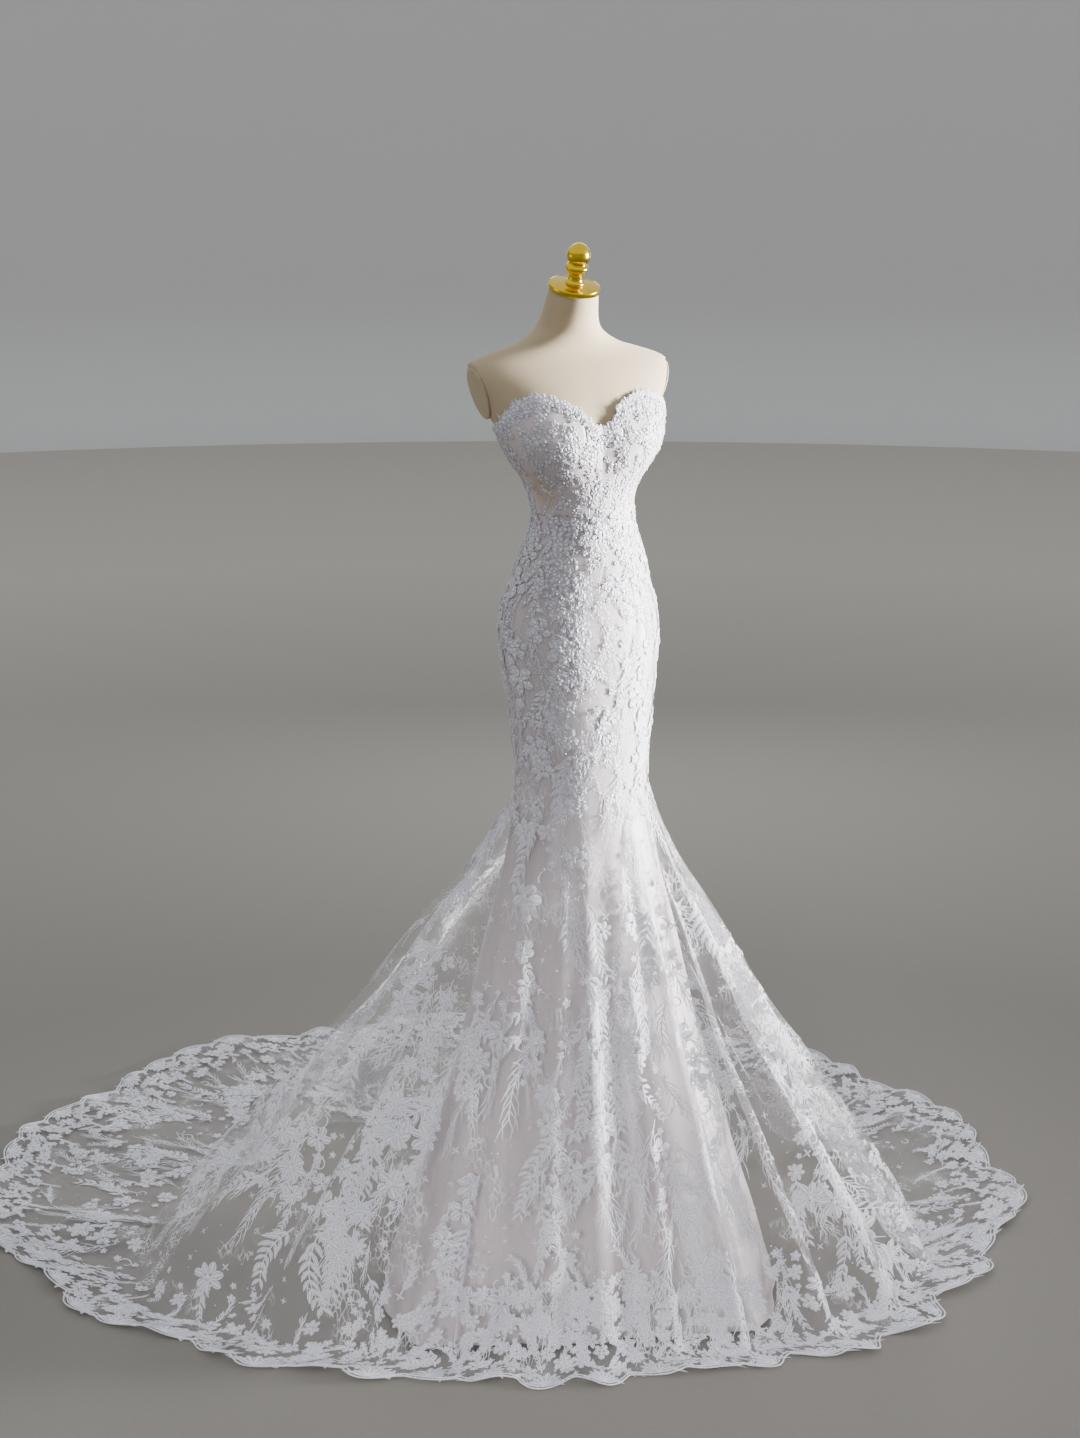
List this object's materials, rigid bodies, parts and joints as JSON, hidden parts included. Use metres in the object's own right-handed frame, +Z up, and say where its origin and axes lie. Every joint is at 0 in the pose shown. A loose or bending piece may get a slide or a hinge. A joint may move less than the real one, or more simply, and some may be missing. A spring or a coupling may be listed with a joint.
{
  "type": "mermaid gown on a limbless dress form",
  "caption": "Strapless lace mermaid gown, close to the body and flaring from the knee into a long scalloped train, standing on a limbless dress form.",
  "frame": {"origin": "on the floor under the form's pole, at the middle of the stand's base", "axes": "+Z up, the gown faces -Y, the wearer's left is +X, the train lies towards +Y"},
  "size_m": [2.2567, 1.9929, 2.0982],
  "materials": {
    "form_jersey": "ivory stretch jersey over the form",
    "polished_brass": "polished",
    "stand_steel": "satin",
    "bodice_lace": "corded lace on a boned foundation",
    "skirt_lace": "embroidered tulle",
    "border_lace": "dense corded lace with a scalloped edge",
    "lining_satin": "soft satin"
  },
  "bodies": {
    "root": {"form_torso": "form_jersey", "form_arm_plate_left": "form_jersey", "form_arm_plate_right": "form_jersey", "neck_cap": "polished_brass", "neck_finial": "polished_brass", "stand_base": "stand_steel", "stand_pole": "stand_steel", "bodice_front_centre": "bodice_lace", "bodice_cup_left": "bodice_lace", "bodice_cup_right": "bodice_lace", "bodice_side_left": "bodice_lace", "bodice_side_right": "bodice_lace", "bodice_back_left": "bodice_lace", "bodice_back_right": "bodice_lace", "neckline_trim_left": "bodice_lace", "neckline_trim_right": "bodice_lace", "back_zip_placket": "bodice_lace", "lining_front": "lining_satin", "lining_back": "lining_satin", "skirt_front": "skirt_lace", "skirt_front_left": "skirt_lace", "skirt_front_right": "skirt_lace", "skirt_side_left": "skirt_lace", "skirt_side_right": "skirt_lace", "skirt_back_left": "skirt_lace", "skirt_back_right": "skirt_lace", "hem_border_front": "border_lace", "hem_border_left": "border_lace", "hem_border_right": "border_lace", "hem_border_train": "border_lace"}
  },
  "joints": []
}
